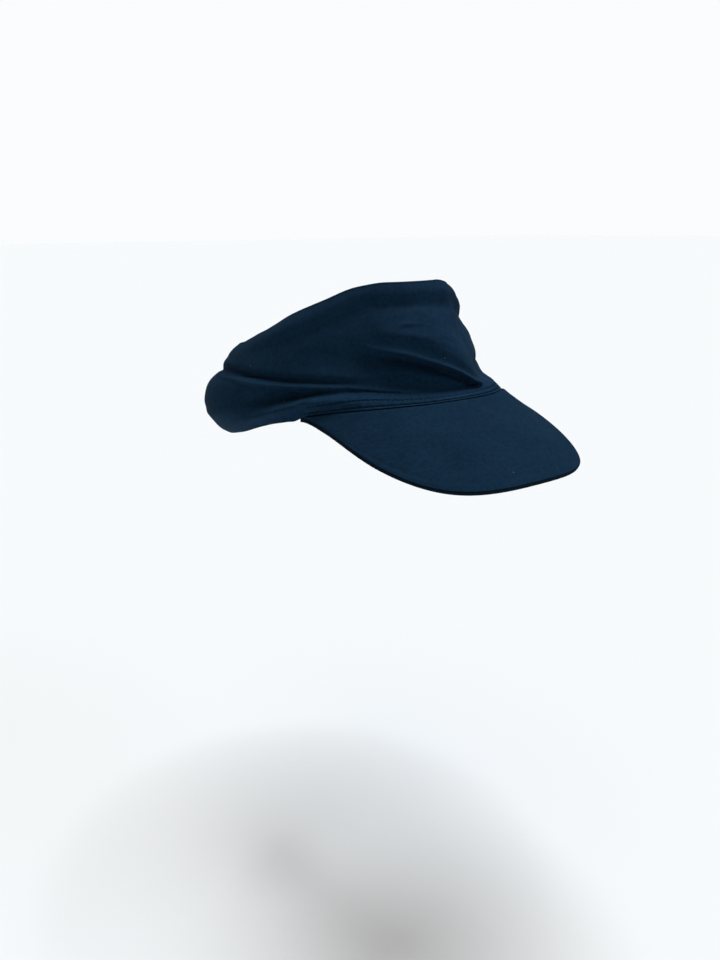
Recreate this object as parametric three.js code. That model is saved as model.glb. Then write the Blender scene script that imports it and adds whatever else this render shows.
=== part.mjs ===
// A soft sport visor: a wide jersey band round the head, a double-stitched hem strip along the
// band's lower front edge, and a covered peak sewn under that strip.
// Millimetres, +Z up, the peak towards -Y. The origin is the middle of the head's oval, level
// with the middle of the peak's seam. Angles turn round +Z from the front (-Y) towards -X.

import * as THREE from 'three';

// The oval of the head at the seam
const HEAD_WIDTH = 165.2;
const HEAD_LENGTH = 199.4;
const HEAD_POWER = 2.15;

// The band
const FRONT_HEIGHT = 62;
const BACK_DROP = 42;
const TOP_LEAN = 40;
const ROLL_BULGE = 14.5;
const FOLD_RISE = 6;
const FOLD_WIDTH = 9;
const BAND_WALL = 2;

// The peak: PEAK_CORNER is the angle of its two corners, PEAK_DROP the angle it falls at
const PEAK_LENGTH = 68.5;
const PEAK_DROP = 28.7;
const PEAK_CORNER = 54;
const PEAK_POWER = 2.66;
const PEAK_WALL = 2.8;
const PEAK_SAG = 3.6;

// The peak's hidden edge under the band, and the ears at its ends
const SEAM_MARGIN = 7;
const EAR_REACH = 2;
const EAR_TUCK = 3;
const EAR_TAPER = 0.6;
const EAR_START = 0.85;

// The hem strip on the band, a little longer than the peak's seam
const HEM_HEIGHT = 9;
const HEM_WALL = 1.6;
const HEM_OVERRUN = 7;
const HEM_REACH = PEAK_CORNER + HEM_OVERRUN;
const HEM_BLEND = 2.5;

// The gap that touching pieces keep
const CLEARANCE = 0.3;

// How a crisp crease changes the swell beside it: where it peaks and how full it is
const SKEW_BELOW = 0.5;
const SKEW_ABOVE = 0.3;
const CRISP_FULLNESS = 0.5;
const PUFF_POWER = 1.2;

// The rounding of the band's top edge, a share of its wall
const RIM_ROUND = 0.3;

// Steps of the meshes
const BAND_STEPS = 84;
const HEM_ROWS = 5;
const ROLL_ROWS = 8;
const UPPER_ROWS = 14;
const PEAK_STEPS = 44;
const BAND_STEP = 360 / BAND_STEPS;
const ROLL_BLEND = 8 * BAND_STEP;

const COLOURS = { headband: 0x1b3347, front_hem: 0x1c3550, peak: 0x1f3a52 };

function table(columns, rows) {
  const result = {};
  columns.forEach((name, i) => {
    result[name] = rows.map((row) => row[i]);
  });
  return result;
}

// Sections of the band by the angle from the front, the same on both sides.
// low: the lower edge, downwards, a share of BACK_DROP.
// crease, high: the crease between the two rolls and the top edge, shares of FRONT_HEIGHT.
// tuck, hollow, lean: how far those three lie inside the oval, shares of TOP_LEAN.
// roll, puff: swell below and above the crease, shares of ROLL_BULGE.
// crisp: 0 where the crease is a soft bend, 1 where it is a sharp groove.
const SECTIONS = table(
  ['angle', 'low', 'crease', 'high', 'tuck', 'hollow', 'lean', 'roll', 'puff', 'crisp'],
  [
    [0, 0.0, 0.065, 1.0, 0.04, 0.25, 1.0, 0.03, 0.1, 0.0],
    [18, 0.02, 0.075, 0.985, 0.04, 0.27, 0.98, 0.03, 0.1, 0.0],
    [34, 0.07, 0.1, 0.945, 0.04, 0.32, 0.93, 0.07, 0.07, 0.0],
    [53, 0.18, 0.17, 0.83, 0.03, 0.31, 0.78, 0.17, 0.14, 0.1],
    [75, 0.4, 0.155, 0.685, 0.0, 0.23, 0.6, 0.45, 0.28, 0.45],
    [95, 0.6, 0.12, 0.525, 0.03, 0.2, 0.5, 0.69, 0.32, 0.85],
    [128, 0.84, 0.065, 0.355, 0.17, 0.21, 0.46, 0.97, 0.34, 1.0],
    [155, 0.96, 0.025, 0.31, 0.2, 0.225, 0.45, 1.0, 0.34, 1.0],
    [180, 1.0, 0.01, 0.29, 0.2, 0.225, 0.45, 1.0, 0.34, 1.0],
  ],
);

// Folds of the band, each a ridge or a valley along a path.
// angle: from the front. height: a share of FRONT_HEIGHT. rise: a share of FOLD_RISE, below 0
// for a valley. above, below: how wide it is to each side, shares of FOLD_WIDTH.
const FOLD_COLUMNS = ['angle', 'height', 'rise', 'above', 'below'];
const FOLDS = {
  hem_swell: table(FOLD_COLUMNS, [
    [-80, -0.19, 0.0, 0.4, 0.4],
    [-53, 0.0, 0.15, 0.35, 0.45],
    [-34, 0.02, 0.1, 0.3, 0.45],
    [-15, 0.035, 0.15, 0.25, 0.4],
    [0, 0.04, 0.2, 0.25, 0.35],
    [18, 0.045, 0.25, 0.25, 0.35],
    [36, 0.055, 0.4, 0.3, 0.45],
    [53, 0.01, 0.45, 0.35, 0.45],
    [64, -0.07, 0.4, 0.35, 0.45],
    [80, -0.19, 0.25, 0.45, 0.45],
    [104, -0.39, 0.0, 0.45, 0.45],
  ]),
  side_roll: table(FOLD_COLUMNS, [
    [-128, 0.03, 0.0, 0.3, 0.6],
    [-90, 0.12, 0.5, 0.3, 0.6],
    [-68, 0.15, 0.4, 0.35, 0.55],
    [-50, 0.16, 0.0, 0.3, 0.4],
    [8, 0.09, 0.0, 0.3, 0.3],
    [18, 0.12, 0.4, 0.3, 0.35],
    [30, 0.14, 0.7, 0.35, 0.35],
    [40, 0.16, 0.85, 0.4, 0.4],
    [53, 0.165, 0.85, 0.4, 0.45],
    [67, 0.15, 0.7, 0.35, 0.6],
    [79, 0.135, 0.55, 0.3, 0.65],
    [104, 0.09, 0.3, 0.25, 0.65],
    [128, 0.03, 0.0, 0.25, 0.65],
  ]),
  brow_drape: table(FOLD_COLUMNS, [
    [-48, 0.02, 0.0, 0.25, 0.45],
    [-34, 0.035, 0.3, 0.2, 0.45],
    [-20, 0.06, 0.6, 0.25, 0.45],
    [-9, 0.14, 0.85, 0.45, 0.45],
    [-2, 0.245, 1.0, 0.8, 0.4],
    [6, 0.34, 0.95, 1.0, 0.4],
    [14, 0.405, 0.8, 1.0, 0.4],
    [22, 0.445, 0.65, 1.0, 0.4],
    [30, 0.47, 0.4, 0.9, 0.45],
    [46, 0.5, 0.0, 0.9, 0.5],
  ]),
  brow_hollow: table(FOLD_COLUMNS, [
    [-14, 0.0, 0.0, 0.35, 0.35],
    [-6, 0.1, -0.2, 0.45, 0.45],
    [0, 0.155, -0.35, 0.55, 0.55],
    [10, 0.24, -0.6, 0.55, 0.75],
    [20, 0.315, -0.6, 0.55, 0.9],
    [32, 0.34, -0.4, 0.65, 1.0],
    [50, 0.355, -0.15, 0.65, 1.0],
    [65, 0.39, 0.0, 0.65, 1.0],
  ]),
  far_hollow: table(FOLD_COLUMNS, [
    [-66, 0.1, 0.0, 0.6, 0.5],
    [-36, 0.12, -0.6, 1.2, 0.5],
    [-20, 0.15, -0.5, 1.2, 0.5],
    [-6, 0.3, 0.0, 0.9, 0.5],
  ]),
  top_roll: table(FOLD_COLUMNS, [
    [-128, 0.27, 0.0, 0.6, 0.5],
    [-75, 0.56, 0.25, 0.65, 0.5],
    [-45, 0.74, 0.35, 0.65, 0.5],
    [-25, 0.84, 0.2, 0.7, 0.45],
    [0, 0.855, 0.4, 0.75, 0.45],
    [25, 0.855, 0.45, 0.75, 0.5],
    [45, 0.75, 0.4, 0.65, 0.5],
    [75, 0.565, 0.3, 0.65, 0.5],
    [128, 0.27, 0.0, 0.6, 0.5],
  ]),
  under_top: table(FOLD_COLUMNS, [
    [-110, 0.24, 0.0, 0.55, 0.6],
    [-80, 0.39, -0.3, 0.55, 0.65],
    [-50, 0.56, -0.3, 0.55, 0.7],
    [-20, 0.68, 0.0, 0.55, 0.7],
    [0, 0.68, 0.0, 0.55, 0.7],
    [25, 0.725, -0.15, 0.55, 0.75],
    [45, 0.62, -0.35, 0.55, 0.8],
    [60, 0.52, -0.4, 0.55, 0.8],
    [80, 0.39, -0.35, 0.55, 0.7],
    [110, 0.24, 0.0, 0.55, 0.65],
  ]),
};

// The hem strip from the front to its ends. reach: a share of HEM_REACH. rise: its top above the
// seam, a share of HEM_HEIGHT. wall: its thickness, a share of HEM_WALL.
const HEM_STRIP = table(['reach', 'rise', 'wall'], [
  [0, 0.42, 1.0],
  [0.3, 0.56, 1.0],
  [0.59, 0.96, 1.0],
  [0.82, 1.0, 0.9],
  [1, 0.6, 0.5],
]);

// Smooth curve through a table's points that never overshoots them
function curve(x, xs, ys) {
  const last = xs.length - 2;
  const at = Math.min(Math.max(x, xs[0]), xs[last + 1]);
  let k = 0;
  while (k < last && at >= xs[k + 1]) k += 1;
  const chord = (i) => (ys[i + 1] - ys[i]) / (xs[i + 1] - xs[i]);
  const slope = (i) => {
    if (i === 0 || i > last) return 0;
    const before = chord(i - 1);
    const after = chord(i);
    return before * after > 0 ? (2 * before * after) / (before + after) : 0;
  };
  const step = xs[k + 1] - xs[k];
  const t = (at - xs[k]) / step;
  return (1 + 2 * t) * (1 - t) ** 2 * ys[k] + t * (1 - t) ** 2 * step * slope(k)
    + t * t * (3 - 2 * t) * ys[k + 1] + t * t * (t - 1) * step * slope(k + 1);
}

const { clamp, degToRad: radians, smoothstep } = THREE.MathUtils;

function ovalRadius(angle) {
  const across = Math.abs(Math.sin(radians(angle)) / (HEAD_WIDTH / 2)) ** HEAD_POWER;
  const along = Math.abs(Math.cos(radians(angle)) / (HEAD_LENGTH / 2)) ** HEAD_POWER;
  return (across + along) ** (-1 / HEAD_POWER);
}

// The point at an angle, `offset` outside the oval and at a height
function place(angle, offset, height) {
  const radius = ovalRadius(angle) + offset;
  const turn = radians(angle);
  return new THREE.Vector3(-radius * Math.sin(turn), -radius * Math.cos(turn), height);
}

function section(angle) {
  const at = Math.abs(angle);
  const value = (name) => curve(at, SECTIONS.angle, SECTIONS[name]);
  return {
    low: -value('low') * BACK_DROP,
    crease: value('crease') * FRONT_HEIGHT,
    high: value('high') * FRONT_HEIGHT,
    tuck: value('tuck') * TOP_LEAN,
    hollow: value('hollow') * TOP_LEAN,
    lean: value('lean') * TOP_LEAN,
    roll: value('roll') * ROLL_BULGE,
    puff: value('puff') * ROLL_BULGE,
    crisp: value('crisp'),
  };
}

function foldOffset(fold, angle, height) {
  const value = (name) => curve(angle, fold.angle, fold[name]);
  const away = height - value('height') * FRONT_HEIGHT;
  const width = value(away > 0 ? 'above' : 'below') * FOLD_WIDTH;
  return value('rise') * FOLD_RISE * Math.exp(-((away / width) ** 2));
}

// A bulge that is 0 at both ends of t from 0 to 1
function swell(t, skew, power) {
  return Math.max(Math.sin(Math.PI * t ** skew), 0) ** power;
}

// How far the cloth's outer face lies outside the oval, at an angle and a height
function clothOffset(angle, height) {
  const s = section(angle);
  const fullness = CRISP_FULLNESS * s.crisp;
  let offset;
  if (height < s.crease) {
    const t = clamp((height - s.low) / (s.crease - s.low), 0, 1);
    offset = s.roll * swell(t, 1 + SKEW_BELOW * s.crisp, 1 - fullness);
    offset -= s.tuck + (s.hollow - s.tuck) * t;
  } else {
    const t = clamp((height - s.crease) / (s.high - s.crease), 0, 1);
    offset = s.puff * swell(t, 1 - SKEW_ABOVE * s.crisp, PUFF_POWER - fullness);
    offset -= s.hollow + (s.lean - s.hollow) * t;
  }
  for (const fold of Object.values(FOLDS)) offset += foldOffset(fold, angle, height);
  return offset;
}

// The top of the hem strip. The strip is as wide in front as at the sides, but it lies back there.
function hemTop(angle) {
  const reach = Math.abs(angle) / HEM_REACH;
  return section(angle).low + curve(reach, HEM_STRIP.reach, HEM_STRIP.rise) * HEM_HEIGHT;
}

// A thickness across the strip, measured level: the more the strip lies back, the longer
function levelDepth(angle, thickness) {
  const s = section(angle);
  return thickness * Math.hypot(1, (s.hollow - s.tuck) / (s.crease - s.low));
}

function hemWall(angle) {
  return curve(Math.abs(angle) / HEM_REACH, HEM_STRIP.reach, HEM_STRIP.wall) * HEM_WALL;
}

// How far the band steps back for the hem strip in front of it
function hemRecess(angle, height) {
  const top = hemTop(angle) + CLEARANCE;
  const along = 1 - smoothstep(Math.abs(angle), HEM_REACH + BAND_STEP, HEM_REACH + 2 * BAND_STEP);
  const up = 1 - smoothstep(height, top, top + HEM_BLEND);
  return levelDepth(angle, hemWall(angle) + CLEARANCE) * along * up;
}

// A closed body lofted through sections. Each section lists its outer points and the inner points
// that face them. A ring joins its last section to its first, and any other body is capped.
// Quads are split along the same diagonal inside and outside, so that nested walls stay parallel.
function loft(sections, isRing) {
  const rows = sections[0].outer.length;
  const size = rows * 2;
  const positions = [];
  for (const { outer, inner } of sections) {
    for (const point of [...outer, ...[...inner].reverse()]) positions.push(...point.toArray());
  }
  const indices = [];
  const quad = (a, b, c, d) => indices.push(a, b, c, a, c, d);
  const isInner = (j) => j >= rows && j < size - 1;
  const spans = isRing ? sections.length : sections.length - 1;
  for (let i = 0; i < spans; i += 1) {
    const here = i * size;
    const next = ((i + 1) % sections.length) * size;
    for (let j = 0; j < size; j += 1) {
      const k = (j + 1) % size;
      if (isInner(j)) quad(here + k, next + k, next + j, here + j);
      else quad(here + j, here + k, next + k, next + j);
    }
  }
  if (!isRing) {
    const end = (sections.length - 1) * size;
    for (let j = 0; j < rows - 1; j += 1) {
      quad(j, size - 1 - j, size - 2 - j, j + 1);
      quad(end + j, end + j + 1, end + size - 2 - j, end + size - 1 - j);
    }
  }
  const geometry = new THREE.BufferGeometry();
  geometry.setAttribute('position', new THREE.Float32BufferAttribute(positions, 3));
  geometry.setIndex(indices);
  geometry.computeVertexNormals();
  return geometry;
}

function steps(count, from, to) {
  return Array.from({ length: count + 1 }, (_, i) => from + ((to - from) * i) / count);
}

function toSpace(loop, angle) {
  const lift = (points) => points.map(([offset, height]) => place(angle, offset, height));
  return { outer: lift(loop.outer), inner: lift(loop.inner) };
}

// Heights of the band's rows at an angle. In front the lower rows follow the hem strip and the
// stretch just above it, and at the back they follow the lower roll up to its crease.
function bandHeights(angle) {
  const s = section(angle);
  const strip = hemTop(angle);
  const inFront = [
    ...steps(HEM_ROWS, s.low, strip),
    ...steps(ROLL_ROWS - HEM_ROWS, strip, strip + HEM_BLEND * 2).slice(1),
  ];
  const behind = steps(ROLL_ROWS, s.low, s.crease);
  const share = smoothstep(Math.abs(angle), HEM_REACH, HEM_REACH + ROLL_BLEND);
  const lower = inFront.map((height, i) => height + (behind[i] - height) * share);
  const top = s.high - BAND_WALL * RIM_ROUND;
  return [...lower, ...steps(UPPER_ROWS, lower[ROLL_ROWS], top).slice(1)];
}

function bandOffset(angle, height) {
  return clothOffset(angle, height) - hemRecess(angle, height);
}

// The band's inner face: everywhere a full wall away from the outer face, so narrow folds are
// solid and wide ones show inside too
function bandLining(angle, height) {
  const s = section(angle);
  const depths = [-1, -0.5, 0, 0.5, 1].map((share) => {
    const near = clamp(height + share * BAND_WALL, s.low, s.high);
    return bandOffset(angle, near) - BAND_WALL * Math.sqrt(1 - share ** 2);
  });
  return Math.min(...depths, bandOffset(angle, height) - BAND_WALL);
}

function bandSection(angle) {
  const heights = bandHeights(angle);
  const outer = heights.map((height) => [bandOffset(angle, height), height]);
  const inner = heights.map((height) => [bandLining(angle, height), height]);
  const rim = heights[heights.length - 1] + BAND_WALL * RIM_ROUND;
  const [outside] = outer[outer.length - 1];
  const [inside] = inner[inner.length - 1];
  outer.push([outside + (inside - outside) * RIM_ROUND, rim]);
  inner.push([inside + (outside - inside) * RIM_ROUND, rim]);
  return toSpace({ outer, inner }, angle);
}

const BAND_ANGLES = steps(BAND_STEPS, -180, 180).slice(0, -1);

function headband() {
  return loft(BAND_ANGLES.map(bandSection), true);
}

function hemSection(angle) {
  const heights = steps(HEM_ROWS, section(angle).low, hemTop(angle));
  const outer = heights.map((height) => [clothOffset(angle, height), height]);
  const wall = levelDepth(angle, hemWall(angle));
  const inner = outer.map(([offset, height]) => [offset - wall, height]);
  const rounding = wall / 3;
  outer[0][0] -= rounding;
  outer[HEM_ROWS][0] -= rounding;
  return toSpace({ outer, inner }, angle);
}

function frontHem() {
  const between = BAND_ANGLES.filter((angle) => Math.abs(angle) < HEM_REACH - BAND_STEP / 4);
  return loft([-HEM_REACH, ...between, HEM_REACH].map(hemSection), false);
}

// The peak's seam under the hem strip, at a station from -1 to 1
function seamPoint(station) {
  const angle = station * (PEAK_CORNER + EAR_REACH);
  const ear = smoothstep(Math.abs(angle), PEAK_CORNER - EAR_REACH, PEAK_CORNER + EAR_REACH);
  return place(angle, -EAR_TUCK * ear, section(angle).low - CLEARANCE);
}

// The peak's outer edge, an oval-like curve from corner to corner through the tip
function edgePoint(station) {
  const corner = place(PEAK_CORNER, 0, section(PEAK_CORNER).low - CLEARANCE);
  const tipY = -HEAD_LENGTH / 2 - PEAK_LENGTH * Math.cos(radians(PEAK_DROP));
  const tipZ = -PEAK_LENGTH * Math.sin(radians(PEAK_DROP));
  const turn = (station * Math.PI) / 2;
  const across = Math.sign(turn) * Math.abs(Math.sin(turn)) ** (2 / PEAK_POWER);
  const forward = Math.abs(Math.cos(turn)) ** (2 / PEAK_POWER);
  return new THREE.Vector3(
    corner.x * across,
    corner.y + (tipY - corner.y) * forward,
    corner.z + (tipZ - corner.z) * forward - PEAK_SAG * Math.sin(2 * turn) ** 2,
  );
}

// Where the peak's rows lie between the seam and the rounded edge, and the turns of that edge
const PEAK_SHARES = [0, 0.12, 0.26, 0.41, 0.56, 0.7, 0.83, 0.93];
const EDGE_TURNS = [0, 40, 75];
const STATION_NUDGE = 1e-3;

// The peak's upward normal at a station, from the stations just before and after it
function peakNormal(station, outward) {
  const middle = (at) => seamPoint(at).add(edgePoint(at));
  const ahead = middle(Math.min(station + STATION_NUDGE, 1));
  const behind = middle(Math.max(station - STATION_NUDGE, -1));
  return ahead.sub(behind).cross(outward).normalize();
}

function peakSection(station) {
  const seam = seamPoint(station);
  const edge = edgePoint(station);
  const outward = edge.clone().sub(seam).normalize();
  const up = peakNormal(station, outward);
  const inward = new THREE.Vector3(-seam.x, -seam.y, 0).normalize();
  const vertical = new THREE.Vector3(0, 0, 1);
  const mitre = up.clone().add(vertical).normalize();
  mitre.multiplyScalar(1 / mitre.dot(vertical));
  const round = PEAK_WALL / 2;
  const length = edge.distanceTo(seam) - round;
  const margin = SEAM_MARGIN * (1 - EAR_TAPER * smoothstep(Math.abs(station), EAR_START, 1));
  const top = [seam.clone().addScaledVector(inward, margin)];
  const bottom = [top[0].clone().addScaledVector(vertical, -PEAK_WALL)];
  for (const share of PEAK_SHARES) {
    const point = seam.clone().addScaledVector(outward, share * length);
    top.push(point);
    bottom.push(point.clone().addScaledVector(share === 0 ? mitre : up, -PEAK_WALL));
  }
  for (const turn of EDGE_TURNS) {
    const out = round * Math.sin(radians(turn));
    const half = round * Math.cos(radians(turn));
    const middle = seam.clone().addScaledVector(outward, length + out).addScaledVector(up, -round);
    top.push(middle.clone().addScaledVector(up, half));
    bottom.push(middle.clone().addScaledVector(up, -half));
  }
  return { outer: top, inner: bottom };
}

function peak() {
  return loft(steps(PEAK_STEPS, 1, -1).map(peakSection), false);
}

const visor = new THREE.Group();
for (const [name, geometry] of Object.entries({
  headband: headband(),
  front_hem: frontHem(),
  peak: peak(),
})) {
  const material = new THREE.MeshStandardMaterial({
    color: COLOURS[name],
    roughness: 0.92,
    metalness: 0,
  });
  const mesh = new THREE.Mesh(geometry, material);
  mesh.name = name;
  visor.add(mesh);
}

export default visor;
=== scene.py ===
# A soft sport visor: jersey band, double-stitched front hem, covered peak.
# Lengths in the tables and formulas are millimetres, and meshes are made in metres.
# Angles on the visor are degrees round +Z from the front (-Y) towards -X. The azimuths of the
# camera and the lights run the other way, from the front towards +X.

import math

import bpy
import numpy as np
from mathutils import Matrix


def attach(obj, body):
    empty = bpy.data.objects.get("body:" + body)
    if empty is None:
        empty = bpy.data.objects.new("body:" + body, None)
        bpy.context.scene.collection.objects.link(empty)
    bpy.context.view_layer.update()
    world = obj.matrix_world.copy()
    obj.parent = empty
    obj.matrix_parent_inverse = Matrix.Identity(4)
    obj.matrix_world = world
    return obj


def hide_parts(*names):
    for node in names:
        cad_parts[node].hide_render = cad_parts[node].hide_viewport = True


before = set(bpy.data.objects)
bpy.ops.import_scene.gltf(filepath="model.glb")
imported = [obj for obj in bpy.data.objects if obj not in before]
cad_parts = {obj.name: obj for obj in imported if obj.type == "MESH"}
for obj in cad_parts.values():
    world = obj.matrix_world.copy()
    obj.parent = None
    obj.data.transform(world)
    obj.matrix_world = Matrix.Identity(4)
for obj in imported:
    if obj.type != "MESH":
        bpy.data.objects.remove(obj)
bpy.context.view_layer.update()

MM = 0.001

# The head's oval: width, length, and the power that makes it fuller than an ellipse
HEAD_WIDTH, HEAD_LENGTH, HEAD_POWER = 165.2, 199.4, 2.15

# The band: its height in front, how far it drops behind, the scale of its lean, its wall, and
# the scales of the rear rolls and the folds
FRONT_HEIGHT, BACK_DROP, TOP_LEAN, BAND_WALL = 62.0, 42.0, 40.0, 2.0
ROLL_BULGE, FOLD_RISE, FOLD_WIDTH = 14.5, 6.0, 9.0

# Its lower edge dips round the peak's corners and droops just behind them: depth, angle, width
EAR_DIP, EAR_DIP_ANGLE, EAR_DIP_WIDTH = 1.0, 62, 5
END_DROOP, END_DROOP_ANGLE, END_DROOP_WIDTH = 1.1, 58.2, 2.5

# The peak: length, slope (degrees), corner angle, power of its outline, wall and sag. It is
# turned a little about its length (PEAK_ROLL, radians). Near the corners its edge draws in
# (PEAK_PINCH, a share) and lifts.
PEAK_LENGTH, PEAK_DROP, PEAK_CORNER, PEAK_POWER = 68.5, 28.7, 54.0, 2.69
PEAK_WALL, PEAK_SAG, PEAK_ROLL, PEAK_PINCH, PEAK_LIFT = 2.8, 3.6, 0.009, 0.022, 0.8

# The gap at its seam, and the flange behind the seam. The ears at its corners reach past them
# (degrees), lie behind the band's face (EAR_TUCK) and rise into its edge. Towards the ears the
# flange narrows by the share EAR_TAPER, from the station EAR_START on.
SEAM_GAP, SEAM_MARGIN = 0.3, 7.0
EAR_REACH, EAR_TUCK, EAR_RISE, EAR_TAPER, EAR_START = 2.4, 2.2, 0.2, 0.5, 0.85

# The hem strip: height, wall and reach to either side (degrees)
HEM_HEIGHT, HEM_WALL, HEM_REACH = 9.0, 1.6, 61.0

# The band's section at each angle. "low" is a share of BACK_DROP, "crease" and "high" are shares
# of FRONT_HEIGHT, "tuck", "hollow" and "lean" of TOP_LEAN, "roll" and "puff" of ROLL_BULGE.
# "crisp" makes the rolls rounder.
SECTION_COLUMNS = ("low", "crease", "high", "tuck", "hollow", "lean", "roll", "puff", "crisp")
SECTIONS = np.array([
    [0, 0.0, 0.065, 1.0, 0.04, 0.25, 1.0, 0.03, 0.1, 0.0],
    [18, 0.02, 0.075, 1.0, 0.04, 0.27, 0.98, 0.03, 0.1, 0.0],
    [34, 0.07, 0.1, 0.963, 0.04, 0.32, 0.93, 0.07, 0.07, 0.0],
    [53, 0.18, 0.17, 0.847, 0.03, 0.31, 0.78, 0.17, 0.14, 0.1],
    [75, 0.41, 0.155, 0.706, 0.0, 0.23, 0.6, 0.45, 0.28, 0.45],
    [95, 0.615, 0.12, 0.54, 0.08, 0.2, 0.5, 0.73, 0.32, 0.85],
    [128, 0.84, 0.065, 0.355, 0.18, 0.21, 0.46, 0.97, 0.34, 1.0],
    [155, 0.96, 0.025, 0.31, 0.2, 0.225, 0.45, 1.0, 0.34, 1.0],
    [180, 1.0, 0.01, 0.29, 0.2, 0.225, 0.45, 1.0, 0.34, 1.0],
])
SKEW_BELOW, SKEW_ABOVE, CRISP_FULLNESS, PUFF_POWER = 0.5, 0.3, 0.5, 1.2

# Folds: angle, height (share of FRONT_HEIGHT), rise (share of FOLD_RISE), above and below
# (shares of FOLD_WIDTH)
FOLDS = {
    "hem_swell": [
        [-80, -0.19, 0.0, 0.4, 0.4], [-53, 0.0, 0.15, 0.35, 0.45], [-34, 0.02, 0.1, 0.3, 0.45],
        [-15, 0.035, 0.15, 0.25, 0.4], [0, 0.04, 0.2, 0.22, 0.35], [18, 0.045, 0.25, 0.2, 0.35],
        [36, 0.045, 0.45, 0.18, 0.45], [53, 0.008, 0.6, 0.18, 0.45], [64, -0.075, 0.55, 0.2, 0.45],
        [80, -0.19, 0.35, 0.35, 0.45], [104, -0.39, 0.0, 0.45, 0.45],
    ],
    "side_roll": [
        [-128, 0.03, 0.0, 0.3, 0.6], [-90, 0.12, 0.5, 0.3, 0.6], [-68, 0.15, 0.4, 0.35, 0.55],
        [-50, 0.16, 0.0, 0.3, 0.4], [8, 0.09, 0.0, 0.3, 0.3], [18, 0.12, 0.3, 0.4, 0.35],
        [30, 0.14, 0.4, 0.5, 0.35], [40, 0.155, 0.45, 0.6, 0.4], [53, 0.155, 0.45, 0.6, 0.45],
        [67, 0.145, 0.4, 0.5, 0.6], [79, 0.135, 0.4, 0.4, 0.65], [104, 0.09, 0.3, 0.25, 0.65],
        [128, 0.03, 0.0, 0.25, 0.65],
    ],
    "brow_drape": [
        [-42, 0.03, 0.0, 0.3, 0.3], [-32, 0.032, 0.5, 0.5, 0.26], [-25, 0.044, 0.85, 0.7, 0.27],
        [-18, 0.074, 0.85, 1.2, 0.3], [-13, 0.126, 0.82, 1.8, 0.32],
        [-6.5, 0.223, 0.86, 2.2, 0.33], [-2.5, 0.272, 0.92, 2.3, 0.33],
        [2, 0.323, 0.98, 2.2, 0.33], [6, 0.36, 0.98, 2.0, 0.33], [10, 0.388, 0.95, 1.8, 0.33],
        [15, 0.428, 0.88, 1.6, 0.34], [22, 0.452, 0.65, 1.5, 0.38], [30, 0.466, 0.35, 1.2, 0.45],
        [46, 0.48, 0.0, 1.0, 0.5],
    ],
    "brow_bulge": [
        [-28, 0.3, 0.0, 1.2, 0.8], [-18, 0.33, 0.16, 1.2, 0.8], [-13, 0.38, 0.26, 1.3, 0.9],
        [-4, 0.47, 0.34, 1.4, 1.0], [6, 0.55, 0.36, 1.4, 0.95], [16, 0.6, 0.3, 1.4, 0.9],
        [30, 0.63, 0.12, 1.2, 0.9], [44, 0.63, 0.0, 1.0, 0.85],
    ],
    "far_flat": [
        [-54, 0.54, 0.0, 0.8, 0.8], [-38, 0.56, -0.28, 0.9, 0.8], [-24, 0.57, -0.26, 0.9, 0.8],
        [-10, 0.58, 0.0, 0.8, 0.8],
    ],
    "brow_hollow": [
        [-28, 0.025, 0.0, 0.3, 0.3], [-21, 0.045, -0.25, 0.3, 0.25], [-15, 0.065, -0.2, 0.35, 0.3],
        [-8, 0.095, -0.2, 0.6, 0.35], [0, 0.11, -0.3, 0.9, 0.35], [10, 0.135, -0.5, 1.2, 0.35],
        [20, 0.16, -0.52, 1.5, 0.4], [32, 0.24, -0.38, 1.4, 0.8], [50, 0.33, -0.15, 0.8, 1.0],
        [65, 0.39, 0.0, 0.65, 1.0],
    ],
    "far_hollow": [
        [-66, 0.1, 0.0, 0.6, 0.5], [-36, 0.12, -0.6, 1.0, 0.5], [-20, 0.15, -0.42, 1.0, 0.5],
        [-6, 0.3, 0.0, 0.9, 0.5],
    ],
    "far_lump": [
        [-66, 0.06, 0.0, 0.6, 0.4], [-54, 0.055, -0.6, 0.6, 0.5], [-46, 0.055, -0.85, 0.65, 0.55],
        [-38, 0.055, -0.85, 0.8, 0.55], [-30, 0.055, -0.6, 1.0, 0.55],
        [-22, 0.055, -0.35, 0.8, 0.4], [-14, 0.055, 0.0, 0.5, 0.3],
    ],
    "rear_belly": [
        [86, -0.14, 0.0, 0.8, 0.6], [104, -0.26, 0.46, 0.8, 0.7], [118, -0.31, 0.52, 1.0, 0.75],
        [138, -0.32, 0.0, 0.9, 0.7],
    ],
    "top_corner": [
        [-60, 0.85, 0.0, 0.4, 0.4], [-44, 0.89, 0.22, 0.45, 0.45], [-30, 0.92, 0.3, 0.5, 0.5],
        [-16, 0.93, 0.2, 0.5, 0.5], [-4, 0.93, 0.0, 0.5, 0.5],
    ],
    "top_roll": [
        [-128, 0.27, 0.0, 0.6, 0.5], [-75, 0.56, 0.25, 0.65, 0.5], [-45, 0.76, 0.35, 0.65, 0.5],
        [-25, 0.88, 0.2, 0.7, 0.4], [0, 0.91, 0.3, 0.7, 0.45], [25, 0.905, 0.32, 0.7, 0.5],
        [45, 0.77, 0.28, 0.65, 0.5], [75, 0.575, 0.22, 0.65, 0.5], [128, 0.27, 0.0, 0.6, 0.5],
    ],
    "under_top": [
        [-110, 0.24, 0.0, 0.55, 0.6], [-80, 0.39, -0.3, 0.55, 0.65], [-50, 0.6, -0.35, 0.5, 0.6],
        [-26, 0.77, -0.22, 0.45, 0.5], [-12, 0.805, -0.32, 0.5, 0.48], [0, 0.82, -0.38, 0.5, 0.46],
        [25, 0.815, -0.3, 0.5, 0.5], [45, 0.7, -0.3, 0.55, 0.7], [60, 0.55, -0.3, 0.6, 0.8],
        [80, 0.4, -0.25, 0.6, 0.8], [110, 0.24, 0.0, 0.55, 0.65],
    ],
}

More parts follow.
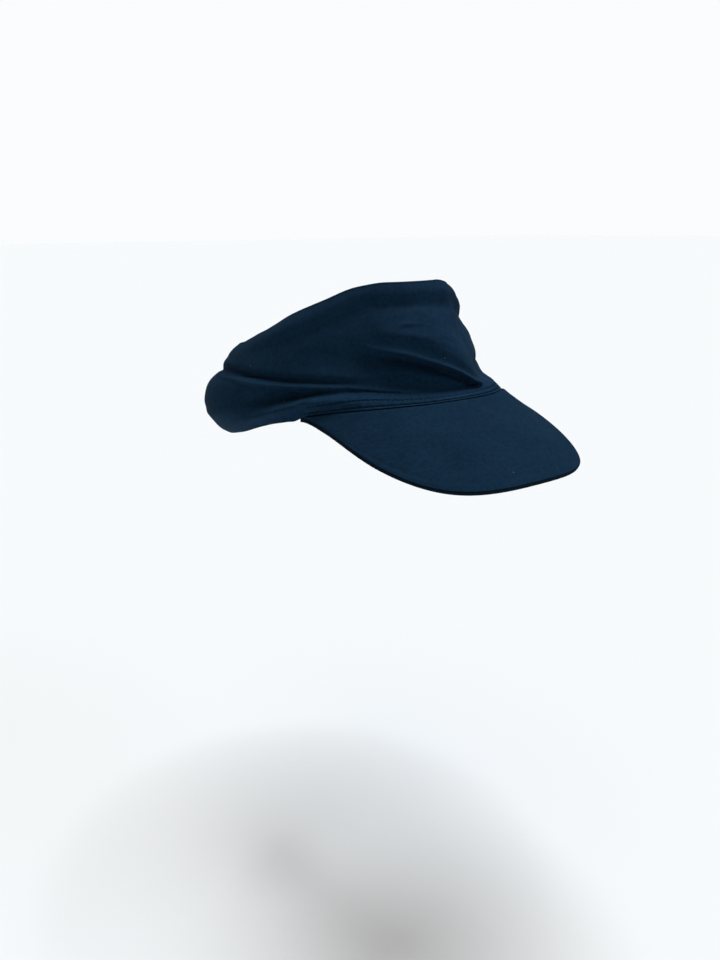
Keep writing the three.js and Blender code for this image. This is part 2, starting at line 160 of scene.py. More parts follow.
# Fine creases: angle, then height, rise, above and below in millimetres
CREASES = {
    "drape_edge": [
        [-36, 1.6, 0.0, 0.6, 0.8], [-25, 2.7, 1.6, 0.7, 0.8], [-18, 4.8, 1.7, 0.7, 0.8],
        [-13, 7.8, 1.9, 0.8, 0.8], [-4, 15.9, 2.0, 0.8, 0.9], [6, 22.3, 2.4, 0.8, 1.0],
        [16, 26.7, 2.3, 0.8, 1.2], [24, 28.0, 1.7, 1.0, 1.4], [36, 29.4, 0.0, 1.6, 1.4],
    ],
    "drape_under": [
        [-24, 1.8, 0.0, 1.0, 1.6], [-13, 4.8, -0.9, 1.2, 2.2], [-4, 12.4, -2.0, 1.6, 2.8],
        [6, 18.6, -2.9, 1.8, 3.4], [16, 22.6, -2.8, 1.9, 3.8], [26, 24.2, -1.4, 2.2, 4.2],
        [38, 25.4, 0.0, 2.6, 4.6],
    ],
    "under_fold": [
        [-16, 3.6, 0.0, 1.6, 1.6], [-6, 6.6, 1.0, 2.4, 2.0], [2, 9.6, 1.5, 2.8, 2.4],
        [14, 13.4, 1.7, 3.0, 2.8], [28, 16.4, 1.0, 3.0, 3.0], [42, 18.0, 0.0, 2.8, 2.8],
    ],
    "drape_behind": [
        [-26, 4.8, 0.0, 1.2, 1.0], [-16, 8.2, -1.4, 2.2, 1.0], [-6, 16.6, -1.6, 2.6, 1.1],
        [2, 22.4, -1.6, 3.2, 1.2], [10, 26.8, -1.5, 4.0, 1.4], [20, 30.3, -1.2, 4.4, 1.5],
        [36, 32.0, 0.0, 4.0, 1.6],
    ],
    "drape_second": [
        [-8, 25.0, 0.0, 1.8, 1.6], [0, 29.5, 0.5, 2.0, 1.6], [8, 32.5, 0.6, 2.2, 1.8],
        [18, 35.0, 0.4, 2.2, 2.0], [32, 37.0, 0.0, 2.4, 2.2],
    ],
    "side_crest": [
        [4, 3.4, 0.0, 0.6, 1.0], [13, 4.2, 1.0, 0.6, 1.0], [20, 5.5, 1.5, 0.6, 1.0],
        [25, 6.0, 1.6, 0.6, 1.0], [32, 6.6, 1.7, 0.65, 1.1], [38, 7.7, 1.8, 0.7, 1.2],
        [45, 7.9, 1.9, 0.7, 1.2], [52, 7.7, 2.0, 0.7, 1.2], [61, 7.1, 2.1, 0.7, 1.2],
        [71, 6.7, 2.1, 0.7, 1.2], [83, 6.6, 2.0, 0.8, 1.3], [97, 6.4, 2.1, 0.9, 1.4],
        [110, 5.6, 2.0, 0.9, 1.5], [120, 4.8, 1.6, 0.9, 1.4], [140, 3.2, 0.0, 0.9, 1.3],
    ],
    "over_side_crest": [
        [4, 6.6, 0.0, 1.8, 1.4], [18, 8.0, -1.3, 2.2, 1.3], [30, 8.8, -1.9, 2.6, 1.3],
        [40, 9.6, -2.3, 2.8, 1.3], [52, 9.4, -2.5, 2.8, 1.2], [64, 8.8, -2.5, 2.8, 1.2],
        [83, 8.8, -2.2, 2.6, 1.4], [97, 9.3, -1.9, 2.4, 1.6], [110, 9.4, -1.4, 2.2, 1.8],
        [120, 8.2, -0.8, 2.2, 1.6], [136, 6.4, 0.0, 1.8, 1.4],
    ],
    "over_valley": [
        [14, 11.5, 0.0, 4.0, 2.2], [34, 13.6, 0.8, 5.0, 2.6], [52, 14.0, 1.3, 5.0, 2.8],
        [70, 13.0, 1.3, 5.0, 2.6], [86, 12.0, 0.9, 4.0, 2.4], [98, 11.4, 0.4, 3.5, 2.2],
        [112, 11.0, 0.0, 3.5, 2.2],
    ],
    "trough": [
        [26, 4.2, 0.0, 1.0, 1.2], [32, 4.5, -0.5, 1.1, 1.4], [38, 4.7, -1.0, 1.3, 1.7],
        [45, 4.5, -1.7, 1.6, 1.9], [53, 3.5, -2.6, 1.9, 1.9], [58, 2.4, -3.2, 2.6, 2.2],
        [64, 0.8, -3.8, 3.4, 2.7], [71, -1.2, -3.7, 4.6, 3.4], [78, -3.0, -3.3, 5.4, 4.0],
        [86, -4.4, -2.4, 6.0, 4.4], [102, -7.0, 0.0, 5.4, 4.4],
    ],
    "hem_run": [
        [48, -0.5, 0.0, 1.5, 3.0], [54, -1.2, 0.9, 1.5, 3.2], [60, -3.6, 1.6, 1.6, 3.4],
        [66, -6.4, 2.0, 1.8, 3.4], [73, -10.6, 2.0, 2.2, 3.2], [80, -14.2, 1.4, 2.6, 3.2],
        [92, -20.0, 0.0, 2.8, 3.4],
    ],
    "notch": [
        [-50, 40.0, 0.0, 1.5, 1.5], [-36, 43.2, -1.0, 2.2, 2.4], [-26, 45.2, -0.7, 1.8, 2.0],
        [-9, 48.0, -0.5, 1.8, 1.6], [4, 49.0, -0.7, 1.8, 1.5], [17, 49.4, -0.6, 2.0, 1.6],
        [30, 47.4, 0.0, 2.2, 2.0],
    ],
    "ledge_crease": [
        [0, 38.6, 0.0, 1.0, 1.1], [8, 40.2, 0.6, 1.1, 1.2], [14, 40.4, 1.2, 1.0, 1.3],
        [20, 39.0, 0.0, 1.2, 1.3],
    ],
    "pull_high": [
        [-16, 30.5, 0.0, 1.4, 1.4], [-6, 31.6, 0.4, 1.5, 1.5], [5, 33.6, 0.5, 1.5, 1.6],
        [14, 35.2, 0.4, 1.6, 1.7], [26, 36.8, 0.0, 1.8, 1.8],
    ],
    "pull_higher": [
        [-10, 36.0, 0.0, 1.4, 1.4], [-2, 37.6, -0.2, 1.5, 1.5], [8, 38.6, -0.2, 1.5, 1.6],
        [20, 39.4, 0.0, 1.6, 1.7],
    ],
    "temple_pull": [
        [26, 31.0, 0.0, 1.6, 1.6], [36, 34.0, 0.3, 2.0, 1.8], [48, 34.5, 0.3, 2.2, 1.8],
        [62, 32.0, 0.0, 2.2, 2.0],
    ],
    "temple_fold": [
        [30, 21.0, 0.0, 2.0, 2.0], [42, 24.0, -0.5, 2.4, 2.4], [56, 24.5, -0.6, 2.6, 2.6],
        [72, 22.0, 0.0, 2.6, 2.6],
    ],
    "rear_upper": [
        [96, 16.0, 0.0, 1.5, 1.5], [112, 15.0, -0.4, 1.6, 1.8], [132, 12.5, -0.6, 1.8, 2.0],
        [156, 11.5, -0.3, 1.8, 2.0], [172, 11.0, 0.0, 1.8, 2.0],
    ],
    "rear_groove": [
        [92, 7.6, 0.0, 1.2, 1.2], [108, 6.0, 0.9, 1.2, 1.2], [124, 4.0, 1.3, 1.3, 1.3],
        [140, 2.6, 0.6, 1.2, 1.2], [156, 1.6, 0.0, 1.2, 1.2],
    ],
    "rear_lower": [
        [92, -8.0, 0.0, 2.2, 2.2], [108, -13.0, -0.5, 2.4, 2.4], [126, -18.0, -0.7, 2.6, 2.6],
        [150, -21.0, -0.3, 2.6, 2.6], [170, -22.0, 0.0, 2.6, 2.6],
    ],
    "rear_keel": [
        [94, -22.0, 0.0, 4.0, 3.0], [106, -26.0, 0.7, 4.5, 3.5], [118, -28.5, 1.3, 5.0, 4.0],
        [130, -30.5, 1.3, 5.0, 4.0], [150, -33.0, 0.6, 5.0, 4.0], [170, -34.0, 0.0, 5.0, 4.0],
    ],
    "far_rear_lower": [
        [-168, -20.0, 0.0, 2.4, 2.4], [-146, -19.0, -0.6, 2.6, 2.6], [-122, -14.5, -0.5, 2.4, 2.4],
        [-98, -7.0, 0.0, 2.2, 2.2],
    ],
    "far_side_line": [
        [-96, 19.0, 0.0, 1.8, 1.8], [-74, 22.0, -0.5, 2.0, 2.2], [-50, 24.0, -0.2, 2.0, 2.2],
        [-28, 25.0, 0.0, 2.0, 2.2],
    ],
    "far_rear_upper": [
        [-170, 10.5, 0.0, 1.6, 1.8], [-140, 12.0, -0.5, 1.8, 2.0], [-112, 15.0, -0.4, 1.6, 1.8],
        [-92, 17.0, 0.0, 1.6, 1.6],
    ],
}

# The cloth sags over the hollow under the drape: angle, height, sag and width
OVERHANG = np.array([
    [-20, 4.0, 0.0, 2.0], [-13, 7.7, 1.2, 2.4], [-4, 15.7, 2.0, 2.8], [6, 22.0, 2.4, 3.0],
    [15, 25.5, 2.0, 3.4], [26, 27.5, 1.0, 4.0], [40, 29.0, 0.0, 4.0],
])

# Slow waves: height, waves round the head, turn for each WAVE_LENGTH of height, phase (both
# radians). They lose a share of their height behind, over the range between the two angles.
WAVES = (
    (0.16, 5, 0.9, 0.4), (0.12, 9, -1.3, 2.1), (0.1, 16, 2.1, 4.0), (0.08, 27, -2.9, 1.2),
    (0.05, 41, 4.3, 5.1),
)
WAVE_LENGTH, WAVE_LOSS_BEHIND, WAVE_LOSS_FROM, WAVE_LOSS_TO = 10, 0.6, 85, 105

# The top edge is rounded in, more at the near side and the far front: angle, width (degrees),
# added depth and added height of the rounding
TOP_ROUND_DEPTH, TOP_ROUND_HEIGHT = 0.9, 4.0
TOP_ROUND_SIDE, TOP_ROUND_FAR = (74, 26, 2.5, 4.0), (-30, 16, 1.3, 3.0)

# The lower edge behind is turned under: depth, height, and the angles between which it begins
UNDER_DEPTH, UNDER_HEIGHT, UNDER_FROM, UNDER_TO = 0.7, 4, 95, 115

# The creases begin above the hem strip, or behind it above the lower edge, within this height.
# The change from the one to the other lies round the strip's end (degrees).
CREASE_START, STRIP_LEAD, STRIP_TRAIL = 2.4, 7, 2

# The hem strip: reach (share of HEM_REACH), rise (share of HEM_HEIGHT), wall (share of HEM_WALL)
HEM_STRIP = np.array([
    [0, 0.42, 1.0], [0.3, 0.56, 1.0], [0.59, 0.96, 1.0], [0.82, 1.0, 0.9], [1, 0.6, 0.5],
])

# Room between the strip's back and the band
HEM_CLEARANCE = 0.12

# Up to these shares of the strip's height its wall and its padding are full. How far (degrees)
# the wall and the padding end before the strip does, and the padding fades before the corner
FULL_WALL, FULL_PAD = 0.5, 0.7
WALL_END, PAD_END, PAD_START = 0.5, 1, 2


def curve(x, xs, ys):
    """Smooth curve through points that never overshoots them."""
    xs, ys = np.asarray(xs, float), np.asarray(ys, float)
    chords = np.diff(ys) / np.diff(xs)
    product, total = chords[:-1] * chords[1:], chords[:-1] + chords[1:]
    slopes = np.zeros(len(xs))
    slopes[1:-1] = np.where(product > 0, 2 * product / np.where(total == 0, 1, total), 0)
    at = np.clip(x, xs[0], xs[-1])
    k = np.clip(np.searchsorted(xs, at, side="right") - 1, 0, len(xs) - 2)
    step = xs[k + 1] - xs[k]
    t = (at - xs[k]) / step
    return (
        (1 + 2 * t) * (1 - t) ** 2 * ys[k]
        + t * (1 - t) ** 2 * step * slopes[k]
        + t * t * (3 - 2 * t) * ys[k + 1]
        + t * t * (t - 1) * step * slopes[k + 1]
    )


def bell(x, middle, width):
    """A smooth bump of height 1."""
    return np.exp(-(((x - middle) / width) ** 2))


def smoothstep(x, low, high):
    t = np.clip((x - low) / (high - low), 0, 1)
    return t * t * (3 - 2 * t)


def oval_radius(angle):
    turn = np.radians(angle)
    across = np.abs(np.sin(turn) / (HEAD_WIDTH / 2)) ** HEAD_POWER
    along = np.abs(np.cos(turn) / (HEAD_LENGTH / 2)) ** HEAD_POWER
    return (across + along) ** (-1 / HEAD_POWER)


def place(angle, offset, height):
    """Points at an angle, `offset` outside the oval and at a height."""
    radius, turn = oval_radius(angle) + offset, np.radians(angle)
    return np.stack(
        np.broadcast_arrays(-radius * np.sin(turn), -radius * np.cos(turn), height), -1
    )


def end_droop(angle):
    """How far the band's lower edge hangs down just behind the peak's corners."""
    return END_DROOP * bell(np.abs(angle), END_DROOP_ANGLE, END_DROOP_WIDTH)


def section(angle):
    """The band's section at an angle, in millimetres. It is the same left and right."""
    at = np.abs(angle)
    s = {
        name: curve(at, SECTIONS[:, 0], SECTIONS[:, i + 1])
        for i, name in enumerate(SECTION_COLUMNS)
    }
    s["low"] = -s["low"] * BACK_DROP - EAR_DIP * bell(at, EAR_DIP_ANGLE, EAR_DIP_WIDTH)
    s["low"] = s["low"] - end_droop(angle)
    for name in ("crease", "high"):
        s[name] = s[name] * FRONT_HEIGHT
    for name in ("tuck", "hollow", "lean"):
        s[name] = s[name] * TOP_LEAN
    for name in ("roll", "puff"):
        s[name] = s[name] * ROLL_BULGE
    return s


def columns(rows, angle):
    """The columns of a table after the first, which is the angle, read at `angle`."""
    rows = np.asarray(rows, float)
    return [curve(angle, rows[:, 0], column) for column in rows[:, 1:].T]


def ridge(rows, angle, height, heights=1, rises=1, widths=1):
    """A fold that runs along the cloth, with one width above its crest and one below."""
    at, rise, above, below = columns(rows, angle)
    away = height - at * heights
    width = np.where(away > 0, above, below) * widths
    return rise * rises * bell(away, 0, width)


def swell(t, skew, power):
    """A bulge from 0 at t = 0 to 0 at t = 1. The skew moves its crest."""
    return np.maximum(np.sin(np.pi * t ** skew), 0) ** power


def cloth_offset(angle, height):
    """How far the cloth's outer face lies outside the oval."""
    s = section(angle)
    full = CRISP_FULLNESS * s["crisp"]
    t = np.clip((height - s["low"]) / (s["crease"] - s["low"]), 0, 1)
    lower = s["roll"] * swell(t, 1 + SKEW_BELOW * s["crisp"], 1 - full)
    lower = lower - s["tuck"] - (s["hollow"] - s["tuck"]) * t
    u = np.clip((height - s["crease"]) / (s["high"] - s["crease"]), 0, 1)
    upper = s["puff"] * swell(u, 1 - SKEW_ABOVE * s["crisp"], PUFF_POWER - full)
    upper = upper - s["hollow"] - (s["lean"] - s["hollow"]) * u
    offset = np.where(height < s["crease"], lower, upper)
    for rows in FOLDS.values():
        offset = offset + ridge(rows, angle, height, FRONT_HEIGHT, FOLD_RISE, FOLD_WIDTH)
    return offset


def undulation(angle, height):
    """Slow, shallow waves that keep the cloth from looking pressed."""
    turn, up = np.radians(angle), height / WAVE_LENGTH
    waves = sum(
        size * np.sin(count * turn + climb * up + phase) for size, count, climb, phase in WAVES
    )
    behind = smoothstep(np.abs(angle), WAVE_LOSS_FROM, WAVE_LOSS_TO)
    return waves * (1 - WAVE_LOSS_BEHIND * behind)


def fine_offset(angle, height):
    """The fine creases, kept off the hem strip and the lower edge."""
    offset = undulation(angle, height)
    for rows in CREASES.values():
        offset = offset + ridge(rows, angle, height)
    s = section(angle)
    low = s["low"]

    round_depth, round_height = TOP_ROUND_DEPTH, TOP_ROUND_HEIGHT
    for at, width, depth, more in (TOP_ROUND_SIDE, TOP_ROUND_FAR):
        near = bell(angle, at, width)
        round_depth, round_height = round_depth + depth * near, round_height + more * near
    from_top = (s["high"] - height) / round_height
    offset = offset - round_depth * np.clip(1 - from_top, 0, 1) ** 2

    in_front = 1 - smoothstep(np.abs(angle), HEM_REACH - STRIP_LEAD, HEM_REACH + STRIP_TRAIL)
    start = low + (hem_top(angle) - low) * in_front
    from_low = np.clip(1 - (height - low) / UNDER_HEIGHT, 0, 1)
    turned_under = smoothstep(np.abs(angle), UNDER_FROM, UNDER_TO) * from_low ** 2
    return offset * smoothstep(height, start, start + CREASE_START) - UNDER_DEPTH * turned_under


def hem_top(angle):
    """The height of the hem strip's upper edge."""
    rise = curve(np.abs(angle) / HEM_REACH, HEM_STRIP[:, 0], HEM_STRIP[:, 1])
    return section(angle)["low"] + rise * HEM_HEIGHT


def level_depth(angle, thickness):
    """A thickness of the leaning cloth near its lower edge, measured level."""
    s = section(angle)
    return thickness * np.hypot(1, (s["hollow"] - s["tuck"]) / (s["crease"] - s["low"]))


def hem_wall(angle):
    return curve(np.abs(angle) / HEM_REACH, HEM_STRIP[:, 0], HEM_STRIP[:, 2]) * HEM_WALL


def strip_depth(angle, height, wall):
    """The strip's thickness, measured level. It thins out to nothing at its top and its ends."""
    low, top = section(angle)["low"], hem_top(angle)
    full = low + (top - low) * FULL_WALL
    up = 1 - smoothstep(height, full, top)
    along = 1 - smoothstep(np.abs(angle), PEAK_CORNER, HEM_REACH - WALL_END)
    return level_depth(angle, wall) * up * along


def hem_recess(angle, height):
    """How far the band steps back for the hem strip in front of it."""
    return strip_depth(angle, height, hem_wall(angle) + HEM_CLEARANCE)


def face_offset(angle, height):
    """The outer face with its creases, also in front, where the hem strip makes that face."""
    return cloth_offset(angle, height) + fine_offset(angle, height)


def band_offset(angle, height):
    return face_offset(angle, height) - hem_recess(angle, height)


def overhang(angle, height):
    """How far the cloth sags down over the hollow under a fold."""
    at, sag, width = columns(OVERHANG, angle)
    return sag * bell(height, at, width)


def make_mesh(name, points, faces, material, uv=None):
    """A smooth mesh from points in millimetres. uv holds one pair for each face corner."""
    mesh = bpy.data.meshes.new(name)
    mesh.from_pydata((np.asarray(points) * MM).tolist(), [], faces)
    mesh.polygons.foreach_set("use_smooth", np.ones(len(mesh.polygons), bool))
    layer = mesh.uv_layers.new(name="cloth")
    if uv is not None:
        layer.data.foreach_set("uv", np.asarray(uv, np.float32).ravel())
    mesh.update()
    mesh.validate()
    mesh.materials.append(material)
    obj = bpy.data.objects.new(name, mesh)
    bpy.context.scene.collection.objects.link(obj)
    return obj


def grid(loops, spans):
    """Faces of loops[station, row, xyz], whose rows run round a section, and their texture
    coordinates in metres of cloth. It also gives each face's station and row."""
    count, rows = loops.shape[:2]
    i, j = np.meshgrid(np.arange(spans), np.arange(rows), indexing="ij")
    here, ahead, k = i * rows, (i + 1) % count * rows, (j + 1) % rows
    faces = np.stack([here + j, here + k, ahead + k, ahead + j], -1).reshape(-1, 4).tolist()
    along = np.linalg.norm(np.roll(loops, -1, 0) - loops, axis=2).mean(1)
    up = np.linalg.norm(np.roll(loops, -1, 1) - loops, axis=2).mean(0)
    u, v = (np.concatenate([[0], np.cumsum(steps)]) * MM for steps in (along, up))
    corners = ((i, j), (i, j + 1), (i + 1, j + 1), (i + 1, j))
    uv = np.stack([np.stack([u[a], v[b]], -1) for a, b in corners], 2).reshape(-1, 2)
    return faces, uv, i.ravel(), j.ravel()


def ring_mesh(name, loops, material):
    """A closed ring."""
    faces, uv, _, _ = grid(loops, len(loops))
    return make_mesh(name, loops.reshape(-1, 3), faces, material, uv)


def strip_mesh(name, loops, material):
    """A closed strip with a cap at each end."""
    count, rows = loops.shape[:2]
    faces, uv, _, _ = grid(loops, count - 1)
    faces.append(list(range(rows))[::-1])
    faces.append([(count - 1) * rows + n for n in range(rows)])
    caps = np.concatenate([loops[0, ::-1, 1:], loops[-1, :, 1:]]) * MM
    return make_mesh(name, loops.reshape(-1, 3), faces, material, np.concatenate([uv, caps]))


def paint_edge(obj, loops, material, first_row, end_row, end_stations):
    """Give another material, here the painted shade of the peak's edge, to some rows of a strip, a
    few faces at its ends, and its caps.
    """
    _, _, station, row = grid(loops, len(loops) - 1)
    obj.data.materials.append(material)
    on_edge = (row >= first_row) & (row < end_row)
    on_edge |= (station < end_stations) | (station >= len(loops) - 1 - end_stations)
    slots = np.concatenate([on_edge, [True, True]]).astype(np.int32)
    obj.data.polygons.foreach_set("material_index", slots)


# Materials

ROUGHNESS, SPECULAR, SHEEN, SHEEN_ROUGHNESS = 0.88, 0.03, 0.016, 0.5
SHEEN_TINT = (0.3, 0.62, 1.0, 1)

# Heather: scale, detail and share of the fine fibres, the blotches and the slow fading
HEATHER = ((1500, 2, 0.34), (420, 3, 0.36), (34, 3, 0.3))
NOISE_ROUGHNESS = 0.55
HEATHER_DARK_END, HEATHER_LIGHT_END = 0.38, 0.62

# Lint: cells for each metre, size of a speck in its cell, share of the cells without one
LINT_CELLS, LINT_SIZE, LINT_FREE, LINT_STRENGTH = 95, 0.038, 0.8, 0.4
LINT_COLOUR = (0.16, 0.2, 0.23, 1)

# Knit: width of a wale and height of a course in metres, slant of the loops, and the shares of
# the wales, the loops and the rough fibres in the relief
WALE, COURSE, LOOP_SLANT = 0.0009, 0.0007, 1.1
WALE_RELIEF, LOOP_RELIEF, FIBRE_RELIEF = 0.6, 0.25, 0.8
FIBRE_SCALE, FIBRE_DETAIL = 900, 3
BUMP_STRENGTH, BUMP_DISTANCE = 0.75, 0.00012


def add(nodes, kind, **values):
    node = nodes.new(kind)
    for key, value in values.items():
        setattr(node, key, value)
    return node


def jersey(name, dark, light, lint_free=LINT_FREE):
    """Fine jersey: heathered navy, a knit of small Vs in relief, soft sheen, a few lint specks."""
    material = bpy.data.materials.new(name)
    material.use_nodes = True
    tree = material.node_tree
    nodes, link = tree.nodes, tree.links.new
    shader = nodes["Principled BSDF"]
    shader.inputs["Roughness"].default_value = ROUGHNESS
    shader.inputs["Specular IOR Level"].default_value = SPECULAR
    shader.inputs["Sheen Weight"].default_value = SHEEN
    shader.inputs["Sheen Roughness"].default_value = SHEEN_ROUGHNESS
    shader.inputs["Sheen Tint"].default_value = SHEEN_TINT
    place_at = add(nodes, "ShaderNodeTexCoord").outputs["Object"]
    cloth = add(nodes, "ShaderNodeUVMap", uv_map="cloth").outputs["UV"]

    def maths(operation, first, second=None):
        node = add(nodes, "ShaderNodeMath", operation=operation)
        for socket, value in zip(node.inputs, (first, second)):
            if value is None:
                continue
            if isinstance(value, (int, float)):
                socket.default_value = value
            else:
                link(value, socket)
        return node.outputs[0]

    def noise(scale, detail):
        node = add(nodes, "ShaderNodeTexNoise")
        node.inputs["Scale"].default_value = scale
        node.inputs["Detail"].default_value = detail
        node.inputs["Roughness"].default_value = NOISE_ROUGHNESS
        link(place_at, node.inputs["Vector"])
        return node.outputs["Fac"]

    # Heather
    fibre, blotch, fade = (
        maths("MULTIPLY", noise(scale, detail), share) for scale, detail, share in HEATHER
    )
    mixed = maths("ADD", maths("ADD", fibre, blotch), fade)
    ramp = add(nodes, "ShaderNodeValToRGB")
    ends = ((HEATHER_DARK_END, dark), (HEATHER_LIGHT_END, light))
    for element, (position, colour) in zip(ramp.color_ramp.elements, ends):
        element.position, element.color = position, (*colour, 1)
    link(mixed, ramp.inputs["Fac"])

    # Lint: a small pale fibre in a few of the cells
    cells = add(nodes, "ShaderNodeTexVoronoi")
    cells.inputs["Scale"].default_value = LINT_CELLS
    link(place_at, cells.inputs["Vector"])
    chance = add(nodes, "ShaderNodeSeparateColor")
    link(cells.outputs["Color"], chance.inputs["Color"])
    in_speck = maths("LESS_THAN", cells.outputs["Distance"], LINT_SIZE)
    speck = maths("MULTIPLY", in_speck, maths("GREATER_THAN", chance.outputs[0], lint_free))
    tint = add(nodes, "ShaderNodeMix", data_type="RGBA")
    link(maths("MULTIPLY", speck, LINT_STRENGTH), tint.inputs["Factor"])
    link(ramp.outputs["Color"], tint.inputs["A"])
    tint.inputs["B"].default_value = LINT_COLOUR
    link(tint.outputs["Result"], shader.inputs["Base Color"])

    # Knit: upright wales with slanting loops
    axes = add(nodes, "ShaderNodeSeparateXYZ")
    link(cloth, axes.inputs[0])
    part = maths("FRACT", maths("DIVIDE", axes.outputs["X"], WALE))
    slant = maths("ABSOLUTE", maths("SUBTRACT", part, 0.5))
    course = maths("DIVIDE", axes.outputs["Y"], COURSE)
    row = maths("ADD", course, maths("MULTIPLY", slant, LOOP_SLANT))
    loops = maths("SINE", maths("MULTIPLY", row, 2 * math.pi))
    wales = maths("SINE", maths("MULTIPLY", part, math.pi))
    knit = maths(
        "ADD", maths("MULTIPLY", wales, WALE_RELIEF), maths("MULTIPLY", loops, LOOP_RELIEF)
    )
    fibres = maths("MULTIPLY", noise(FIBRE_SCALE, FIBRE_DETAIL), FIBRE_RELIEF)
    bump = add(nodes, "ShaderNodeBump")
    bump.inputs["Strength"].default_value = BUMP_STRENGTH
    bump.inputs["Distance"].default_value = BUMP_DISTANCE
    link(maths("ADD", knit, fibres), bump.inputs["Height"])
    link(bump.outputs["Normal"], shader.inputs["Normal"])
    return material


def shaded(tones, share):
    return (tuple(share * c for c in tone) for tone in tones)


# The darkest and the lightest tone of the heather. The hem strip is painted a little lighter than
# the band as painted light, and the peak's edge much darker as painted shade. The thread has no
# lint.
NAVY = ((0.0038, 0.017, 0.0385), (0.0074, 0.0282, 0.0585))
THREAD_NAVY = ((0.003, 0.0125, 0.028), (0.006, 0.022, 0.046))
HEM_PAINTED_LIGHT, EDGE_PAINTED_SHADE, NO_LINT = 1.2, 0.34, 2.0

BAND = jersey("band_jersey_cloth", *NAVY)
# The hem's cloth is the band's jersey painted lighter: painted light on the strip
HEM = jersey("hem_jersey_painted_light", *shaded(NAVY, HEM_PAINTED_LIGHT))
PEAK = jersey("peak_jersey_cloth", *NAVY)
PEAK_EDGE_PAINTED_SHADE = jersey("peak_edge_painted_shade", *shaded(NAVY, EDGE_PAINTED_SHADE))
THREAD = jersey("thread", *THREAD_NAVY, NO_LINT)

# The band: an outer face, a rounded top edge, and a lining a wall further in

ANGLES = np.linspace(-180, 180, 456, endpoint=False)
OUTER_ROWS, RIM_ROWS, LINING_ROWS = 150, 7, 44

# The lining keeps a wall away from the face straight in and at heights around its own
LINING_TESTS = 9


def band_loops():
    angle = ANGLES[:, None]
    s = section(angle)
    low, high = s["low"], s["high"]
    height = low + (high - low - BAND_WALL / 2) * np.linspace(0, 1, OUTER_ROWS)
    offset = band_offset(angle, height)
    outer = place(angle, offset, height - overhang(angle, height))

    inner_height = low + (high - low - BAND_WALL / 2) * np.linspace(1, 0, LINING_ROWS)
    depths = []
    for share in np.linspace(-1, 1, LINING_TESTS):
        near = np.clip(inner_height + share * BAND_WALL, low, high)
        depths.append(band_offset(angle, near) - BAND_WALL * math.sqrt(1 - share ** 2))
    depths.append(band_offset(angle, inner_height) - BAND_WALL)
    inner_offset = np.min(depths, 0)
    inner = place(angle, inner_offset, inner_height - overhang(angle, inner_height))

    turn = np.linspace(0, math.pi, RIM_ROWS + 2)[1:-1]
    middle = (offset[:, -1:] + inner_offset[:, :1]) / 2
    half = (offset[:, -1:] - inner_offset[:, :1]) / 2
    rim = place(
        angle, middle + half * np.cos(turn), height[:, -1:] + BAND_WALL / 2 * np.sin(turn)
    )
    return np.concatenate([outer, rim, inner], 1)


band_cloth = ring_mesh("band_cloth", band_loops(), BAND)

# The hem strip: a folded strip with two stitched grooves and rounded edges

HEM_STATIONS, HEM_FACE_ROWS, HEM_BACK_ROWS = 480, 56, 8
HEM_ANGLES = np.linspace(-HEM_REACH, HEM_REACH, HEM_STATIONS)
HEM_EVEN_ROWS, HEM_BACK = 0.7, 0.03

# The strip's padding swells between the stitch rows, stands proud of the band and is rounded
# off at its lower edge: height, proud face, depth and height of the rounding
HEM_PAD, HEM_PROUD, HEM_ROUND_DEPTH, HEM_ROUND_HEIGHT = 0.5, 0.04, 0.7, 0.9

# Stitch rows (share of the strip's width), pitch and end (degrees, with a soft change)
STITCH_ROWS = (0.2, 0.59)
STITCH_PITCH, STITCH_END, STITCH_SOFT = 2.7, 53.5, 0.6

# The thread pulls a groove into the cloth, deeper at each stitch, with slow puckers beside it.
# The upper row sinks in less towards the front.
GROOVE_DEPTH, GROOVE_PULL, GROOVE_WIDTH = 0.3, 0.3, 0.6
PUCKER_DEPTH, PUCKER_WIDTH, PUCKER_PITCHES, PUCKER_SHIFT = 0.1, 1.8, 2.3, 9
FRONT_SUNK, FRONT_SUNK_TO, FRONT_SUNK_FROM = 0.35, 18, 36

# Each stitch: half its length (share of the pitch), how far it bows out and dips, its radius
# in the middle and the share of that at its ends, sides and rings
STITCH_HALF, STITCH_BOW, STITCH_DIP = 0.36, 0.16, 0.04
THREAD_RADIUS, THREAD_END = 0.2, 0.45
THREAD_SIDES, THREAD_RINGS = 6, 5


def hem_length():
    """How far along the strip each station is."""
    steps = np.diff(place(HEM_ANGLES, 0, section(HEM_ANGLES)["low"]), axis=0)
    return np.concatenate([[0], np.cumsum(np.linalg.norm(steps, axis=1))])


